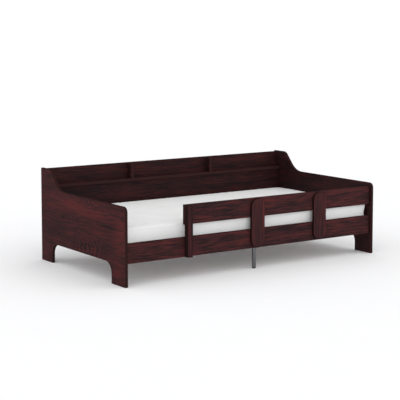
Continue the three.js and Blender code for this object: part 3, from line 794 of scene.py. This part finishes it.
pad_radius = 10.5 * mm
pad_heel = 1.2 * mm
pad_round = 0.5 * mm
pad_mouth = 4.3 * mm
pad_lead = 0.2 * mm
pad_pocket = 6.3 * mm
pad_lip = 1.1 * mm
pad_floor = 1.5 * mm
low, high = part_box("leg_foot_pad")
shape = bmesh.new()
turned(shape, [
    (0, low.z), (pad_radius - pad_heel, low.z), (pad_radius - pad_heel / 4, low.z + pad_heel / 3),
    (pad_radius, low.z + pad_heel), (pad_radius, high.z - pad_round), (pad_radius - pad_round, high.z),
    (pad_mouth + pad_lead, high.z), (pad_mouth, high.z - pad_lead), (pad_mouth, high.z - pad_lip),
    (pad_pocket, high.z - pad_lip), (pad_pocket, low.z + pad_floor), (0, low.z + pad_floor)], 48)
bmesh.ops.remove_doubles(shape, verts=shape.verts, dist=join)
finished(shape, black_plastic, "leg_foot_pad_moulded", "leg_foot_pad", body="foot_pad")

# Mattress
# A foam mattress in a sewn white cover: a top and an under panel joined by a side border that the foam's
# spring holds a little drawn in. The cover is blown up lightly by simulation, then smoothed.
cover_white = (0.79, 0.79, 0.788)
weave_scale = 160
weave_relief = 0.3 * mm
crease_spread = (13, 13, 3.5)
crease_relief = 6 * mm

cover, tree, surface = finish_of(
    "mattress_cover", Roughness=0.92, Specular_IOR_Level=0.15, Sheen_Weight=0.1)
where = place(tree)
threads = 0.0
for direction in "XYZ":
    weave = node(tree, "TexWave", {"bands_direction": direction}, {
        "Vector": where, "Scale": weave_scale, "Distortion": 0.6})
    threads = calc(tree, "ADD", threads, weave.outputs[1])
slub = node(tree, "TexNoise", {}, {"Vector": where, "Scale": 9.0, "Detail": 4.0}).outputs[0]
shade = node(tree, "MapRange", {}, {
    "Value": slub, "From Min": 0.3, "From Max": 0.7, "To Min": 0.965, "To Max": 1.02})
tinted = node(tree, "VectorMath", {"operation": "SCALE"}, {0: cover_white, "Scale": shade.outputs[0]})
spread = node(tree, "VectorMath", {"operation": "MULTIPLY"}, {0: where, 1: crease_spread}).outputs[0]
creases = node(tree, "TexNoise", {}, {"Vector": spread, "Scale": 1.0, "Detail": 2.0, "Distortion": 0.5})
softly = node(tree, "Bump", {}, {
    "Strength": 0.5, "Distance": crease_relief, "Height": creases.outputs[0]}).outputs[0]
dulled = calc(tree, "MULTIPLY_ADD", slub, 0.1, 0.86)
dress(
    tree, surface, tinted.outputs[0], dulled, threads, strength=0.25, depth=weave_relief, Normal=softly)

# The cover starts a little fuller than the CAD form, because remeshing trims its edges
fuller = 1.5 * mm
voxel = 8 * mm
low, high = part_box("mattress")
middle = (low + high) / 2
shape = merged_copy("mattress")
about = Matrix.Translation(middle)
wider, deeper = [1 + 2 * fuller / (high[i] - low[i]) for i in (0, 1)]
resize = about @ Matrix.Diagonal((wider, deeper, 1, 1)) @ about.inverted()
bmesh.ops.transform(shape, matrix=resize, verts=shape.verts)
mattress = piece_of(shape, "mattress_sewn", [cover], ["mattress"], "mattress")


def as_shown(piece):
    """The mesh of a piece with its modifiers worked out."""
    return bpy.data.meshes.new_from_object(piece.evaluated_get(bpy.context.evaluated_depsgraph_get()))


remesh = mattress.modifiers.new("even mesh", "REMESH")
remesh.mode = "VOXEL"
remesh.voxel_size = voxel
bpy.context.view_layer.update()
even = as_shown(mattress)
mattress.modifiers.remove(remesh)
mattress.data = even
for face in even.polygons:
    face.use_smooth = True

# The foam holds the underside fast, the rim firmly and the border less, and leaves the top panel free
underside_height = 14 * mm
rim_height = 13 * mm
rim_width = 16 * mm
underside_hold, rim_hold, border_hold = 1.0, 0.8, 0.6
cover_frames = 20
most_move = 5 * mm
unblown = [vert.co.copy() for vert in even.vertices]
held = mattress.vertex_groups.new(name="held")
for vert in even.vertices:
    from_side = min((high - low)[i] / 2 - abs((vert.co - middle)[i]) for i in (0, 1))
    if vert.co.z < low.z + underside_height:
        held.add([vert.index], underside_hold, "REPLACE")
    elif vert.co.z < high.z - rim_height:
        held.add([vert.index], border_hold, "REPLACE")
    elif from_side < rim_width:
        held.add([vert.index], rim_hold, "REPLACE")
cloth = mattress.modifiers.new("cover", "CLOTH")
cloth.settings.quality = 4
cloth.settings.mass = 0.3
cloth.settings.tension_stiffness = 12
cloth.settings.compression_stiffness = 12
cloth.settings.shear_stiffness = 6
cloth.settings.bending_stiffness = 0.6
cloth.settings.vertex_group_mass = "held"
cloth.settings.shrink_min = -0.012
cloth.settings.use_pressure = True
cloth.settings.uniform_pressure_force = 3
cloth.settings.effector_weights.gravity = 0
cloth.collision_settings.use_collision = False
for number in range(1, cover_frames + 1):
    bpy.context.scene.frame_set(number)
settled = as_shown(mattress)
mattress.modifiers.remove(cloth)
bpy.context.scene.frame_set(1)
for vert, rest in zip(settled.vertices, unblown):
    move = vert.co - rest
    if move.length > most_move:
        move *= most_move / move.length
    vert.co = rest + move
    vert.co.z = max(vert.co.z, low.z)
mattress.data = settled
mattress.vertex_groups.clear()
rounding = mattress.modifiers.new("even curve", "SUBSURF")
rounding.levels = 1
rounding.render_levels = 1

# The piping runs round the rim on top and below, laid on the cover from just outside it
piping_radius = 1.6 * mm
piping_sunk = 0.5 * mm
upper_seam = 12 * mm
lower_seam = 10 * mm
side_steps = 56
corner_steps = 7
corner_radius = 12 * mm
outside = 50 * mm
sewn = mattress.data
surface_of_cover = BVHTree.FromPolygons(
    [vert.co for vert in sewn.vertices], [face.vertices[:] for face in sewn.polygons])
for name, height in (("upper", high.z - upper_seam), ("lower", low.z + lower_seam)):
    seam_middle = Vector((middle.x, middle.y, height))
    route = []
    for side_number in range(4):
        facing = math.pi / 2 * side_number
        side = Vector((math.cos(facing), math.sin(facing), 0))
        along = Vector((-side.y, side.x, 0))
        reach = abs(side.dot((high - low) / 2))
        width = abs(along.dot((high - low) / 2)) - corner_radius
        for step in range(side_steps + 1):
            slid = width * (step / (side_steps / 2) - 1)
            route.append((seam_middle + side * reach + along * slid, side))
        corner = seam_middle + side * (reach - corner_radius) + along * width
        for step in range(1, corner_steps):
            angle = facing + math.pi / 2 * step / corner_steps
            out = Vector((math.cos(angle), math.sin(angle), 0))
            route.append((corner + out * corner_radius, out))
    rim = bpy.data.curves.new("mattress_piping_" + name, "CURVE")
    rim.dimensions = "3D"
    rim.bevel_depth = piping_radius
    rim.bevel_resolution = 3
    rim.materials.append(cover)
    spline = rim.splines.new("POLY")
    spline.points.add(len(route) - 1)
    spline.use_cyclic_u = True
    for knot, (near, out) in zip(spline.points, route):
        hit = surface_of_cover.ray_cast(near + out * outside, -out)[0]
        knot.co = (*(hit + out * (piping_radius - piping_sunk)), 1)
    piping = bpy.data.objects.new("mattress_piping_" + name, rim)
    bpy.context.scene.collection.objects.link(piping)
    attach(piping, "mattress")
